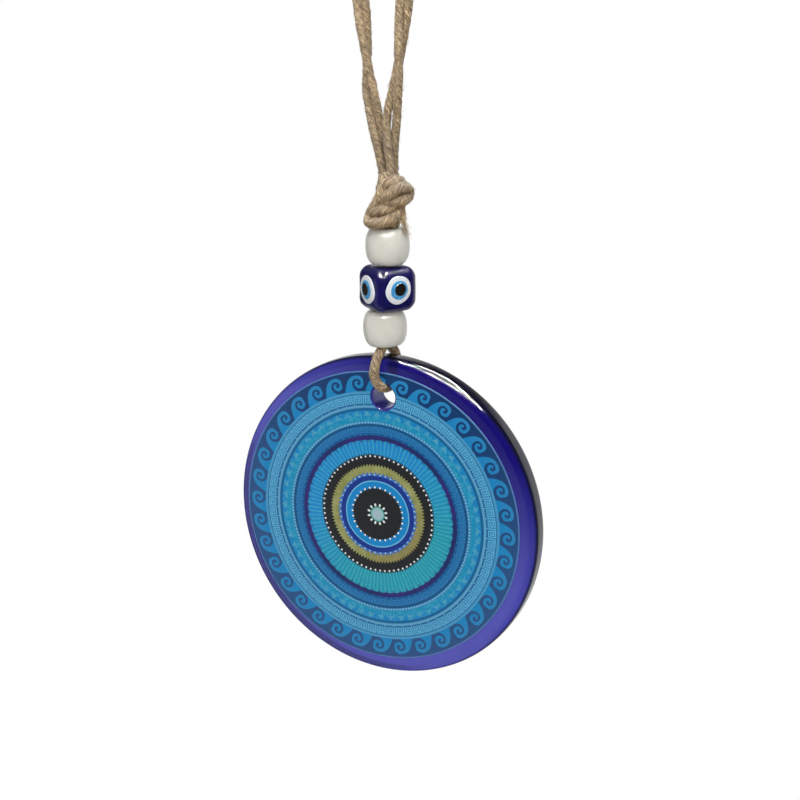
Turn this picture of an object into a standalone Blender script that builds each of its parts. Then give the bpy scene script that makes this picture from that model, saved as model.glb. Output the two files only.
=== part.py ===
"""Hanging evil eye ornament: a cobalt glass disc with a printed face, three beads and a knotted jute cord.

Units are metres, +Z is up and the printed face looks along -Y. The origin is the centre of the disc's
flat back. The cord hangs in the plane CORD_Y, through the middle of the glass.
"""

import math

import bmesh
import bpy
from mathutils import Matrix, Vector

MM = 0.001

# Glass disc
DISC_RADIUS = 46.5 * MM
DISC_THICKNESS = 7.5 * MM
RIM_ROUND = 2.5 * MM
HOLE_Z = 35.5 * MM
HOLE_RADIUS = 3.6 * MM
HOLE_LIP = 0.7 * MM
DISC_SEGMENTS = 80
HOLE_SEGMENTS = 28

# Printed face, a film bonded to the front of the glass
PRINT_RADIUS = 42.7 * MM
PRINT_THICKNESS = 0.25 * MM
PRINT_SHIFT_X = -1.3 * MM
PRINT_HOLE_RADIUS = 4.9 * MM

# Cord
CORD_Y = -DISC_THICKNESS / 2
CORD_RADIUS = 1.1 * MM
CORD_SIDES = 10
STRAND_PITCH = 2.5 * MM

# Beads, from the disc upwards; each starts a gap above the one below it
BEAD_GAP = 0.3 * MM
BEAD_BORE = 2.7 * MM
LOWER_BEAD_Z = 49.6 * MM
WHITE_BEAD_RADIUS = 6.0 * MM
WHITE_BEAD_LENGTH = 10.1 * MM
WHITE_BEAD_END = 3.7 * MM
CUBE_SIDE = 12.5 * MM
CUBE_HEIGHT = 12.3 * MM
CUBE_ROUND = 2.0 * MM
CUBE_TURN = math.radians(52.6)
BEAD_SEGMENTS = 32
BARREL_STEPS = 10

# Eye dots, drops of glass laid on each other on the cube's four sides
EYE_LAYERS = (("white", 4.15 * MM, 0.45 * MM), ("iris", 3.05 * MM, 0.3 * MM), ("pupil", 1.95 * MM, 0.3 * MM))
EYE_SIDES = ("front", "right", "back", "left")
EYE_GAP = 0.05 * MM
EYE_SEGMENTS = 20

# Knot and hanging loop
KNOT_BOTTOM = 82.8 * MM
KNOT_TOP = 96.6 * MM
KNOT_CORE_RADIUS = 3.2 * MM
KNOT_LEAN = math.radians(25.6)
WRAP_SEGMENTS = 24
WRAP_SIDES = 12
LOOP_BOTTOM = 97.0 * MM
CROWN_CENTRE_Z = 188.2 * MM
CROWN_RADIUS = 9.0 * MM
CROWN_SEGMENTS = 9
LEG_STEPS = 26
LEG_START_HALF_GAP = 1.5 * MM
LEG_LEAN = 1.7 * MM
TWIST_TOP = 163.0 * MM
TWIST_BOTTOM = 100.0 * MM

# Joint axes
DISC_PIVOT_Z = 37.8 * MM
BIGHT_PIVOT_Z = 49.9 * MM

CUBE_Z = LOWER_BEAD_Z + WHITE_BEAD_LENGTH + BEAD_GAP
UPPER_BEAD_Z = CUBE_Z + CUBE_HEIGHT + BEAD_GAP


def clear_scene():
    for obj in list(bpy.data.objects):
        bpy.data.objects.remove(obj, do_unlink=True)


def material(name, colour, roughness, metallic=0.0):
    made = bpy.data.materials.new(name)
    made.use_nodes = True
    made.diffuse_color = (*colour, 1.0)
    shader = made.node_tree.nodes["Principled BSDF"]
    shader.inputs["Base Color"].default_value = (*colour, 1.0)
    shader.inputs["Roughness"].default_value = roughness
    shader.inputs["Metallic"].default_value = metallic
    return made


def new_object(name, bm, made_of):
    """An object from a bmesh, its normals facing out and shaded smooth up to 40 degrees."""
    bmesh.ops.recalc_face_normals(bm, faces=bm.faces)
    mesh = bpy.data.meshes.new(name)
    bm.to_mesh(mesh)
    bm.free()
    mesh.shade_smooth()
    mesh.set_sharp_from_angle(angle=math.radians(40))
    obj = bpy.data.objects.new(name, mesh)
    bpy.context.scene.collection.objects.link(obj)
    if made_of is not None:
        mesh.materials.append(made_of)
    return obj


def empty_at(name, place, parent=None):
    obj = bpy.data.objects.new(name, None)
    obj.empty_display_size = 5 * MM
    bpy.context.scene.collection.objects.link(obj)
    hang(obj, place, parent)
    return obj


def hang(obj, place, parent):
    """Puts the object's origin at a world place, under a parent that isn't turned."""
    origin = Vector((0, 0, 0))
    above = parent
    while above is not None:
        origin += above.location
        above = above.parent
    obj.location = Vector(place) - origin
    obj.parent = parent


def turned(outline, segments, closed):
    """A bmesh turned about Z from (radius, height) points: a closed outline, or one with both ends on Z."""
    bm = bmesh.new()
    verts = [bm.verts.new((radius, 0, height)) for radius, height in outline]
    pairs = list(zip(verts, verts[1:]))
    if closed:
        pairs.append((verts[-1], verts[0]))
    edges = [bm.edges.new(pair) for pair in pairs]
    bmesh.ops.spin(
        bm, geom=verts + edges, axis=(0, 0, 1), cent=(0, 0, 0), angle=math.tau, steps=segments, use_merge=True
    )
    bmesh.ops.remove_doubles(bm, verts=bm.verts, dist=0.001 * MM)
    return bm


def quarter(centre, radius, start, steps=4):
    """Points of a quarter turn about a centre, from an angle in degrees, clockwise."""
    angles = [math.radians(start - 90 * step / steps) for step in range(steps + 1)]
    return [(centre[0] + radius * math.cos(a), centre[1] + radius * math.sin(a)) for a in angles]


def swept(path, radius, across):
    """A closed bmesh swept along a path. One flat of its section faces away from the across direction."""
    bm = bmesh.new()
    rings = []
    for index, point in enumerate(path):
        before = path[max(index - 1, 0)]
        after = path[min(index + 1, len(path) - 1)]
        along = (after - before).normalized()
        side = (across - across.dot(along) * along).normalized()
        outward = side.cross(along)
        ring = []
        for corner in range(CORD_SIDES):
            angle = math.tau * (corner + 0.5) / CORD_SIDES
            ring.append(bm.verts.new(point + radius * (math.cos(angle) * outward + math.sin(angle) * side)))
        rings.append(ring)
    for lower, upper in zip(rings, rings[1:]):
        for corner in range(CORD_SIDES):
            following = (corner + 1) % CORD_SIDES
            bm.faces.new((lower[corner], lower[following], upper[following], upper[corner]))
    bm.faces.new(rings[0])
    bm.faces.new(rings[-1])
    return bm


def smooth_path(points, steps):
    """A Catmull-Rom curve through the points."""
    ends = [2 * points[0] - points[1], *points, 2 * points[-1] - points[-2]]
    path = []
    for a, b, c, d in zip(ends, ends[1:], ends[2:], ends[3:]):
        for step in range(steps):
            t = step / steps
            path.append(
                0.5 * (2 * b + (c - a) * t + (2 * a - 5 * b + 4 * c - d) * t**2 + (3 * b - a - 3 * c + d) * t**3)
            )
    path.append(points[-1])
    return path


def cut(obj, cutter):
    """Cuts a hidden cutter out of the object with a live Boolean."""
    cutter.hide_render = True
    cutter.display_type = "WIRE"
    modifier = obj.modifiers.new("cut_" + cutter.name, "BOOLEAN")
    modifier.operation = "DIFFERENCE"
    modifier.object = cutter


def facing_front(bm):
    """Turns a shape made about Z so that its top looks along -Y."""
    bmesh.ops.transform(bm, matrix=Matrix.Rotation(math.radians(90), 4, "X"), verts=bm.verts)
    return bm


def make_glass_disc(parent):
    """A flat disc with a bullnose rim and a hole with softened lips. Its turned height is from back to front."""
    core = DISC_RADIUS - RIM_ROUND
    outline = [(0, DISC_THICKNESS)]
    outline += quarter((core, DISC_THICKNESS - RIM_ROUND), RIM_ROUND, 90)
    outline += quarter((core, RIM_ROUND), RIM_ROUND, 0)
    outline.append((0, 0))
    glass = material("cobalt_glass", (0.02, 0.015, 0.35), 0.05)
    disc = new_object("glass_disc", facing_front(turned(outline, DISC_SEGMENTS, closed=False)), glass)
    hang(disc, (0, 0, 0), parent)
    hole = new_object("hole_cutter", facing_front(hole_spool()), None)
    hang(hole, (0, 0, HOLE_Z), parent)
    cut(disc, hole)


def hole_spool():
    """The shape of the hole: a bore that flares over a round lip at each face."""
    over = 2 * MM
    wide = HOLE_RADIUS + HOLE_LIP
    front = [
        (wide - HOLE_LIP * math.sin(a), DISC_THICKNESS - HOLE_LIP + HOLE_LIP * math.cos(a))
        for a in (math.radians(30 * step) for step in range(4))
    ]
    back = [(radius, DISC_THICKNESS - height) for radius, height in reversed(front)]
    outline = [(0, DISC_THICKNESS + over), (wide, DISC_THICKNESS + over), *front, *back, (wide, -over), (0, -over)]
    return turned(outline, HOLE_SEGMENTS, closed=False)


def make_printed_face(parent):
    """A thin round film on the front of the glass, with a hole round the cord's hole."""
    film = material("printed_film", (0.03, 0.25, 0.55), 0.15)
    front = DISC_THICKNESS + EYE_GAP
    outline = [(0, front + PRINT_THICKNESS), (PRINT_RADIUS, front + PRINT_THICKNESS), (PRINT_RADIUS, front), (0, front)]
    face = new_object("printed_face", facing_front(turned(outline, DISC_SEGMENTS, closed=False)), film)
    hang(face, (PRINT_SHIFT_X, 0, 0), parent)
    over = 2 * MM
    outline = [(0, over), (PRINT_HOLE_RADIUS, over), (PRINT_HOLE_RADIUS, -over), (0, -over)]
    hole = new_object("print_hole_cutter", facing_front(turned(outline, HOLE_SEGMENTS, closed=False)), None)
    hang(hole, (0, -front, HOLE_Z), parent)
    cut(face, hole)


def bead_outline():
    """A barrel with flat ends round a straight bore, its lower end at height 0."""
    half = WHITE_BEAD_LENGTH / 2
    narrowing = 1 - (WHITE_BEAD_END / WHITE_BEAD_RADIUS) ** 2
    barrel = []
    for step in range(BARREL_STEPS + 1):
        up = math.cos(math.pi * step / BARREL_STEPS)
        barrel.append((WHITE_BEAD_RADIUS * math.sqrt(1 - narrowing * up**2), half + half * up))
    return [(BEAD_BORE, WHITE_BEAD_LENGTH), *barrel, (BEAD_BORE, 0)]


def make_white_bead(name, height, glaze, parent):
    bead = new_object(name, turned(bead_outline(), BEAD_SEGMENTS, closed=True), glaze)
    hang(bead, (0, CORD_Y, height), parent)


def make_cube_bead(parent):
    """A cube with rounded edges and an upright bore. Returns it, for the eye dots to hang on."""
    bm = bmesh.new()
    bmesh.ops.create_cube(bm, size=1)
    bmesh.ops.scale(bm, vec=(CUBE_SIDE, CUBE_SIDE, CUBE_HEIGHT), verts=bm.verts)
    bmesh.ops.bevel(bm, geom=bm.edges[:], offset=CUBE_ROUND, segments=5, profile=0.5, affect="EDGES")
    glass = material("cube_glass", (0.015, 0.012, 0.2), 0.08)
    cube = new_object("cube_bead", bm, glass)
    hang(cube, (0, CORD_Y, CUBE_Z + CUBE_HEIGHT / 2), parent)
    reach = CUBE_HEIGHT
    outline = [(0, reach), (BEAD_BORE, reach), (BEAD_BORE, -reach), (0, -reach)]
    bore = new_object("cube_bore_cutter", turned(outline, BEAD_SEGMENTS, closed=False), None)
    bore.parent = cube
    cut(cube, bore)
    cube.rotation_euler.z = CUBE_TURN
    return cube


def dot_mesh(radius, thickness):
    """A flat drop of glass with a domed front, its back at height 0."""
    edge = 0.4 * thickness
    crown = [
        (radius * math.cos(a), edge + (thickness - edge) * math.sin(a))
        for a in (math.radians(90 - 30 * step) for step in range(4))
    ]
    return facing_front(turned([(0, thickness), *crown[1:], (radius, 0), (0, 0)], EYE_SEGMENTS, closed=False))


def make_eyes(cube):
    """White, iris and pupil dots, stacked outwards on each side of the cube."""
    colours = {"white": (0.85, 0.85, 0.83), "iris": (0.1, 0.45, 0.8), "pupil": (0.01, 0.01, 0.01)}
    glazes = {layer: material("eye_" + layer, colour, 0.08) for layer, colour in colours.items()}
    for turn, side in enumerate(EYE_SIDES):
        way = Matrix.Rotation(math.radians(90 * turn), 4, "Z")
        out = CUBE_SIDE / 2 + EYE_GAP
        for layer, radius, thickness in EYE_LAYERS:
            dot = new_object(f"eye_{layer}_{side}", dot_mesh(radius, thickness), glazes[layer])
            dot.parent = cube
            dot.matrix_basis = way @ Matrix.Translation((0, -out, 0))
            out += thickness + EYE_GAP


def leg_centre(height, side):
    """The centre of one leg's pair of strands. The legs spread upwards and lean a little to the left."""
    share = (height - LOOP_BOTTOM) / (CROWN_CENTRE_Z - LOOP_BOTTOM)
    spread = math.sin(share * math.pi / 2) ** 1.2
    half_gap = LEG_START_HALF_GAP + (CROWN_RADIUS - LEG_START_HALF_GAP) * spread
    return Vector((side * half_gap - LEG_LEAN * math.sin(share * math.pi), CORD_Y, height))


def strand_offset(height):
    """From a pair's centre to its first strand: side by side front and back, with one full twist on the way."""
    share = min(max((height - TWIST_BOTTOM) / (TWIST_TOP - TWIST_BOTTOM), 0), 1)
    angle = math.radians(-90 - 360 * share)
    return 0.5 * STRAND_PITCH * Vector((math.cos(angle), math.sin(angle), 0))


def loop_path(strand):
    """Up the left leg, over the crown and down the right leg. strand is 1 for the front one and -1 for the rear."""
    heights = [LOOP_BOTTOM + (CROWN_CENTRE_Z - LOOP_BOTTOM) * step / LEG_STEPS for step in range(LEG_STEPS)]
    path = [leg_centre(height, -1) + strand * strand_offset(height) for height in heights]
    for step in range(CROWN_SEGMENTS + 1):
        angle = math.pi * (1 - step / CROWN_SEGMENTS)
        over = CROWN_RADIUS * Vector((math.cos(angle), 0, math.sin(angle)))
        path.append(Vector((0, CORD_Y, CROWN_CENTRE_Z)) + over + strand * strand_offset(CROWN_CENTRE_Z))
    path += [leg_centre(height, 1) + strand * strand_offset(height) for height in reversed(heights)]
    return path


def make_hanging_loop(jute, parent):
    for name, strand in (("hanging_loop_front", 1), ("hanging_loop_rear", -1)):
        cord = new_object(name, swept(loop_path(strand), CORD_RADIUS, Vector((0, 1, 0))), jute)
        hang(cord, (0, 0, 0), parent)


def tilted_ring(name, ring_radius, cord_radius, shift, height, tilt):
    """A wrap of the knot: a ring that leans, with its high side to the right as the ornament is looked at."""
    outline = []
    for step in range(WRAP_SIDES):
        angle = -math.tau * step / WRAP_SIDES
        outline.append((ring_radius + cord_radius * math.cos(angle), cord_radius * math.sin(angle)))
    bm = turned(outline, WRAP_SEGMENTS, closed=True)
    sideways = Vector((math.cos(KNOT_LEAN), math.sin(KNOT_LEAN), 0))
    towards = Vector((math.sin(KNOT_LEAN), -math.cos(KNOT_LEAN), 0))
    place = Matrix.Translation(shift * sideways + Vector((0, CORD_Y, height)))
    bmesh.ops.transform(bm, matrix=place @ Matrix.Rotation(-tilt, 4, towards), verts=bm.verts)
    return new_object(name, bm, None)


def make_knot(jute, parent):
    """An overhand knot in the doubled cord, as one solid: a core with a lower and an upper wrap joined to it."""
    outline = [(0, KNOT_TOP), (KNOT_CORE_RADIUS, KNOT_TOP), (KNOT_CORE_RADIUS, KNOT_BOTTOM), (0, KNOT_BOTTOM)]
    knot = new_object("knot", turned(outline, WRAP_SEGMENTS, closed=False), jute)
    hang(knot, (0, CORD_Y, 0), parent)
    wraps = (
        tilted_ring("lower_wrap", 3.2 * MM, 1.95 * MM, -1.4 * MM, 86.1 * MM, math.radians(20)),
        tilted_ring("upper_wrap", 3.9 * MM, 2.0 * MM, 1.0 * MM, 92.2 * MM, math.radians(25)),
    )
    for wrap in wraps:
        wrap.hide_render = True
        wrap.display_type = "WIRE"
        join = knot.modifiers.new("join_" + wrap.name, "BOOLEAN")
        join.operation = "UNION"
        join.object = wrap


def make_cord_tail(jute, parent):
    """The cut end of the cord, left standing out below the knot at the right."""
    points = [
        Vector((5.1 * MM, CORD_Y - 0.5 * MM, 88.8 * MM)),
        Vector((5.4 * MM, CORD_Y - 0.5 * MM, 86.4 * MM)),
        Vector((5.3 * MM, CORD_Y - 0.5 * MM, 83.0 * MM)),
    ]
    tail = new_object("cord_tail", swept(smooth_path(points, 4), 1.0 * MM, Vector((0, 1, 0))), jute)
    hang(tail, (0, 0, 0), parent)


def make_bead_cords(jute, parent):
    """The two strands that run straight down through the beads from the knot."""
    top = KNOT_BOTTOM - BEAD_GAP
    bottom = BIGHT_PIVOT_Z + 0.9 * MM
    for name, side in (("bead_cord_front", -1), ("bead_cord_rear", 1)):
        y = CORD_Y + side * 0.5 * STRAND_PITCH
        path = [Vector((0, y, bottom + (top - bottom) * step / 4)) for step in range(5)]
        strand = new_object(name, swept(path, CORD_RADIUS, Vector((1, 0, 0))), jute)
        hang(strand, (0, 0, 0), parent)


def make_disc_cord(jute, parent):
    """The bight that the disc hangs on: down in front, back through the hole and up behind."""
    half = 0.5 * STRAND_PITCH / MM
    front = ((0, -half, 49.9), (-0.1, -1.4, 48.6), (-0.8, -3.7, 47.5), (-1.5, -5.9, 45.6), (-1.9, -7.0, 42.8))
    into = ((-1.3, -6.6, 40.4), (-0.2, -4.9, 38.5), (0, -2.8, 37.8), (0, 0, 37.8), (0, 2.8, 37.8))
    behind = ((0, 4.9, 38.6), (0.2, 5.9, 40.6), (0.3, 6.0, 43.4), (0.3, 5.2, 46.0), (0.2, 3.3, 47.7))
    end = ((0, 1.4, 48.7), (0, half, 49.9))
    points = [Vector((x * MM, CORD_Y + y * MM, z * MM)) for x, y, z in front + into + behind + end]
    bight = new_object("disc_cord", swept(smooth_path(points, 2), CORD_RADIUS, Vector((1, 0, 0))), jute)
    hang(bight, (0, 0, 0), parent)


def build():
    clear_scene()
    jute = material("jute", (0.36, 0.26, 0.16), 0.95)
    glaze = material("white_glaze", (0.78, 0.76, 0.71), 0.12)
    hanger = empty_at("hanger", (0, CORD_Y, CROWN_CENTRE_Z))
    pendant = empty_at("pendant_turn_axis", (0, CORD_Y, KNOT_TOP), hanger)
    bight = empty_at("bight_tilt_axis", (0, CORD_Y, BIGHT_PIVOT_Z), pendant)
    swing = empty_at("disc_swing_axis", (0, CORD_Y, DISC_PIVOT_Z), bight)
    make_hanging_loop(jute, hanger)
    make_knot(jute, pendant)
    make_cord_tail(jute, pendant)
    make_bead_cords(jute, pendant)
    make_white_bead("upper_bead", UPPER_BEAD_Z, glaze, pendant)
    make_eyes(make_cube_bead(pendant))
    make_white_bead("lower_bead", LOWER_BEAD_Z, glaze, pendant)
    make_disc_cord(jute, bight)
    make_glass_disc(swing)
    make_printed_face(swing)


build()
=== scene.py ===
"""Evil eye ornament: a cobalt glass disc with a printed mandala, three beads and a knotted jute cord.

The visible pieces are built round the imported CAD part. The ornament's lengths are in millimetres, and MM
makes metres of them. The stage is in metres. The printed face looks along -Y and +Z is up.
"""

import math

import bmesh
import bpy
import numpy as np
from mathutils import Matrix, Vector, noise

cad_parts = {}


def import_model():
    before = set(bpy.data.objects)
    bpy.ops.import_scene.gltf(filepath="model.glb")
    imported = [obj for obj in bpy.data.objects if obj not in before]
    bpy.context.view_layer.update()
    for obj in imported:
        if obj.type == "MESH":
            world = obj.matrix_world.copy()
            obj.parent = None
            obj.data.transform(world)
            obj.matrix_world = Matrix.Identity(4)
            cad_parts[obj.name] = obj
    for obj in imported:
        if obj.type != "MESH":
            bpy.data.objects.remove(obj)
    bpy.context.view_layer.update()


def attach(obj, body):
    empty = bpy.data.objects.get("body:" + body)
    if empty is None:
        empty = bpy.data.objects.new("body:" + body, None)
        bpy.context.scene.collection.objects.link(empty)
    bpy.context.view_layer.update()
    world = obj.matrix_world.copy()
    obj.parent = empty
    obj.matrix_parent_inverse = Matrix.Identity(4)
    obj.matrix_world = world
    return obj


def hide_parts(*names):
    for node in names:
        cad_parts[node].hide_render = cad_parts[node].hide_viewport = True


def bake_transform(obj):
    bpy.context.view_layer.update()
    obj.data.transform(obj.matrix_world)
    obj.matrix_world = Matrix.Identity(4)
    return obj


MM = 0.001

# The cord's plane and the axis of the beads
CORD_Y = -3.75

# Glass disc
DISC_RADIUS = 46.5
GLASS_FRONT = 7.5
DISC_X = -0.25
DISC_Z = -0.2
DISC_TALL = 1.012
RIM_START = 44.3
RIM_DROP = 2.1
RIM_POWER = 2.0
BACK_ROUND = 2.6
HOLE_Z = 35.5
HOLE_RADIUS = 3.5
FRONT_LIP = 0.5
BACK_LIP = 0.25
DISC_COLUMNS = 384

# Printed film
PRINT_RADIUS = 42.7
PRINT_X = -1.3
FILM_HOLE = 4.0
FILM_GAP = 0.02
FILM_THICKNESS = 0.2

# Beads
BEAD_RADIUS = 6.12
BEAD_LENGTH = 10.1
BEAD_END = 3.7
BEAD_POWER = 2.15
BEAD_BORE = 3.0
LOWER_BEAD_Z = 49.6
UPPER_BEAD_Z = 72.6
CUBE_Z = 65.95
CUBE_HALF = 6.5
CUBE_HALF_HEIGHT = 6.15
CUBE_ROUND = 3.1
CUBE_X = -0.4
CUBE_TURN = math.radians(55.0)

# Cord
YARN_RADIUS = 1.15
PAIR_HALF = 1.1
LOOP_BOTTOM = 97.0
LEG_HALF_GAP = 1.2
LEG_LEAN = 1.7
LEG_SWAY_REACH = 10.0
PARTING = 0.24
PARTING_REACH = 4.5
TWIST_BOTTOM = 100.0
TWIST_TOP = 163.0
CROWN_Z = 188.2
CROWN_RADIUS = 9.0
BEAD_CORD_X = -0.1
BEAD_CORD_HALF_GAP = 0.8
BEAD_CORD_RADIUS = 0.8
BEAD_CORD_BOTTOM = 50.8
BEAD_CORD_TOP = 83.4
DISC_CORD_RADIUS = 1.3

# For the right leg of the loop (1) and the left (-1): where it sways, how far, and where its strands part
LEG_SWAY_Z = {1: 111.0, -1: 118.0}
LEG_SWAY = {1: 0.95, -1: 0.7}
PARTING_Z = {1: 111.5, -1: 119.5}


# ---------------------------------------------------------------- meshes


def linked(name, data):
    """A new object in the scene for a mesh, a camera or a light."""
    obj = bpy.data.objects.new(name, data)
    bpy.context.scene.collection.objects.link(obj)
    return obj


def mesh_object(name, points, faces, finish, tone_and_painted_shade=None, fibre=None):
    """A mesh from points in millimetres. A point may have a brightness, which holds tone and painted shade,
    and a place in the fibre's grain.
    """
    mesh = bpy.data.meshes.new(name)
    mesh.from_pydata((np.asarray(points, float) * MM).tolist(), [], [list(face) for face in faces])
    mesh.validate()
    mesh.shade_smooth()
    if fibre is not None:
        layer = mesh.attributes.new(name="fibre", type="FLOAT_VECTOR", domain="POINT")
        layer.data.foreach_set("vector", np.asarray(fibre, float).ravel())
    if tone_and_painted_shade is not None:
        layer = mesh.color_attributes.new(name="tone_and_painted_shade", type="FLOAT_COLOR", domain="POINT")
        colours = np.ones((len(points), 4))
        colours[:, :3] = np.asarray(tone_and_painted_shade, float)[:, None]
        layer.data.foreach_set("color", colours.ravel())
    obj = linked(name, mesh)
    mesh.materials.append(finish)
    return obj


def face_outwards(obj):
    """Turns every face's normal outwards."""
    bm = bmesh.new()
    bm.from_mesh(obj.data)
    bmesh.ops.recalc_face_normals(bm, faces=bm.faces)
    bm.to_mesh(obj.data)
    bm.free()
    return obj


def grid_faces(rows, columns, close_rows):
    """Quads of a grid whose columns run round, and whose rows also do when close_rows."""
    faces = []
    for row in range(rows if close_rows else rows - 1):
        above = (row + 1) % rows
        for column in range(columns):
            after = (column + 1) % columns
            low, high = row * columns, above * columns
            faces.append((low + column, low + after, high + after, high + column))
    return faces


def turned(outline, segments):
    """Points and faces of a closed outline of (radius, height) turned about Z."""
    angles = np.linspace(0, math.tau, segments, endpoint=False)
    points = [(r * math.cos(a), r * math.sin(a), z) for r, z in outline for a in angles]
    return np.array(points), grid_faces(len(outline), segments, True)


def glass_drop(radius):
    """How far the front of the glass has rounded away at a radius from the disc's centre."""
    share = np.clip((np.asarray(radius, float) - RIM_START) / (DISC_RADIUS - RIM_START), 0, 1)
    return RIM_DROP * (1 - (1 - share**RIM_POWER) ** (1 / RIM_POWER))


def pierced_disc(name, centre, tall, outer_rows, hole_rows, finish):
    """A disc with an off-centre hole, as one closed grid. It is taller than wide by the factor tall.

    outer_rows and hole_rows are (radius, y) going round the section: the outer ones from front to back, the
    hole's from back to front. y may be a function of the point's distance from the Y axis.
    """
    around = np.linspace(0, math.tau, DISC_COLUMNS, endpoint=False)
    reach = max(radius for radius, _ in outer_rows)
    rim_x = centre[0] + reach * np.sin(around)
    rim_z = centre[1] + reach * np.cos(around)
    from_hole = np.arctan2(rim_x, rim_z - HOLE_Z)
    rows = []
    for radius, y in outer_rows:
        rows.append((centre[0] + radius * np.sin(around), centre[1] + tall * radius * np.cos(around), y))
    for radius, y in hole_rows:
        rows.append((radius * np.sin(from_hole), HOLE_Z + radius * np.cos(from_hole), y))
    points = []
    for x, z, y in rows:
        depth = y(np.hypot(x, z)) if callable(y) else np.full(len(x), y)
        points.append(np.stack([x, depth, z], 1))
    obj = mesh_object(name, np.concatenate(points), grid_faces(len(rows), DISC_COLUMNS, True), finish)
    return face_outwards(obj)


def catmull(points, steps):
    """A smooth curve through the points."""
    given = [np.array(point, float) for point in points]
    ends = [2 * given[0] - given[1], *given, 2 * given[-1] - given[-2]]
    path = []
    for a, b, c, d in zip(ends, ends[1:], ends[2:], ends[3:]):
        for t in np.arange(steps) / steps:
            straight = 2 * b + (c - a) * t
            curved = (2 * a - 5 * b + 4 * c - d) * t**2 + (3 * b - a - 3 * c + d) * t**3
            path.append(0.5 * (straight + curved))
    path.append(given[-1])
    return np.array(path)


def resampled(path, step):
    """The path again, at even steps along its length, and how far along it each point is."""
    path = np.asarray(path, float)
    along = np.concatenate([[0], np.cumsum(np.linalg.norm(np.diff(path, axis=0), axis=1))])
    places = np.linspace(0, along[-1], max(int(along[-1] / step), 2) + 1)
    return np.stack([np.interp(places, along, path[:, axis]) for axis in range(3)], 1), places


def frames_along(path):
    """Two directions across the path at each of its points, carried along it without twisting."""
    tangents = np.gradient(path, axis=0)
    tangents /= np.linalg.norm(tangents, axis=1)[:, None]
    first = np.cross(tangents[0], (0.31, 0.87, 0.38))
    sides = [first / np.linalg.norm(first)]
    for tangent in tangents[1:]:
        side = sides[-1] - tangent * (sides[-1] @ tangent)
        sides.append(side / np.linalg.norm(side))
    sides = np.array(sides)
    return sides, np.cross(tangents, sides)


class MeshParts:
    """Points, faces, brightness with its painted shade, and grain gathered from several tubes, to become one
    piece.
    """

    def __init__(self):
        self.points = []
        self.faces = []
        self.tone_and_painted_shade = []
        self.fibre = []

    def add(self, points, faces, tone_and_painted_shade, fibre):
        start = len(self.points)
        self.points.extend(points)
        self.faces.extend([tuple(start + index for index in face) for face in faces])
        self.tone_and_painted_shade.extend(tone_and_painted_shade)
        self.fibre.extend(fibre)


# ---------------------------------------------------------------- jute

YARN_STEP = 0.25
YARN_SIDES = 36
YARN_LOBES = 5
YARN_LAY = 8.5
GRAIN_ROUND = 3.0
GRAIN_ALONG = 0.42

# Shares of a strand's radius
LOBE_GROOVE = 0.11
YARN_SWELL = 0.11
YARN_ROUGHNESS = 0.12

# Shares of a strand's brightness: painted shade in the grooves between its bundles, and painted shade in the
# dips and painted light on the bumps of its rough surface
GROOVE_PAINTED_SHADE = 0.30
ROUGH_PAINTED_LIGHT_AND_SHADE = 0.35

HAIR_STEPS = 7


def add_yarn(parts, path, radius, seed, taper=0.0, fuzz=0.7, flyaway=0.25, tone=1.0):
    """A twisted jute strand: bundles of fibre laid round it, fine hairs on it and a few standing off."""
    chance = np.random.default_rng(seed)
    path, along = resampled(path, YARN_STEP)
    sides, ups = frames_along(path)
    around = np.linspace(0, math.tau, YARN_SIDES, endpoint=False)
    turn = math.tau * along / YARN_LAY
    length = along[-1]
    points = []
    tone_and_painted_shade = []
    fibre = []
    lobe_tone = chance.uniform(0.88, 1.08, YARN_LOBES)
    for row, place in enumerate(along):
        laid = around + turn[row] + 0.5 * noise.noise(Vector((place * 0.12, 3.0 * seed, 5.0)))
        groove = (1 - np.abs(np.sin(YARN_LOBES * laid / 2))) ** 3
        swell = 1 + YARN_SWELL * noise.noise(Vector((place * 0.3, seed, 0.0)))
        if taper:
            swell *= 1 - taper * max(0.0, 1 - (length - place) / 2.0)
        lobe = np.floor(YARN_LOBES * laid / math.tau).astype(int) % YARN_LOBES
        lengthwise = np.full(YARN_SIDES, place * GRAIN_ALONG + 9.7 * seed)
        grain = np.stack([GRAIN_ROUND * np.cos(laid), GRAIN_ROUND * np.sin(laid), lengthwise], 1)
        rough = np.array([noise.noise(Vector(spot)) for spot in grain])
        reach = radius * swell * (1 - LOBE_GROOVE * groove + YARN_ROUGHNESS * rough)
        out = np.cos(around)[:, None] * sides[row] + np.sin(around)[:, None] * ups[row]
        points.extend(path[row] + reach[:, None] * out)
        # Each bundle's own tone, with painted shade in the grooves and dips and painted light on the bumps
        tone_and_painted_shade.extend(tone * lobe_tone[lobe] * (1 - GROOVE_PAINTED_SHADE * groove) * (1 + ROUGH_PAINTED_LIGHT_AND_SHADE * rough))
        fibre.extend(grain)
    faces = grid_faces(len(path), YARN_SIDES, False)
    faces.append(tuple(range(YARN_SIDES)))
    faces.append(tuple(range((len(path) - 1) * YARN_SIDES, len(path) * YARN_SIDES)))
    parts.add(points, faces, tone_and_painted_shade, fibre)
    for _ in range(int(length * fuzz)):
        add_hair(parts, chance, path, along, (sides, ups, turn), radius, chance.uniform(0.6, 2.0), tone)
    for _ in range(int(length * flyaway)):
        add_hair(parts, chance, path, along, (sides, ups, turn), radius, chance.uniform(3.0, 9.0), tone)


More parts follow.
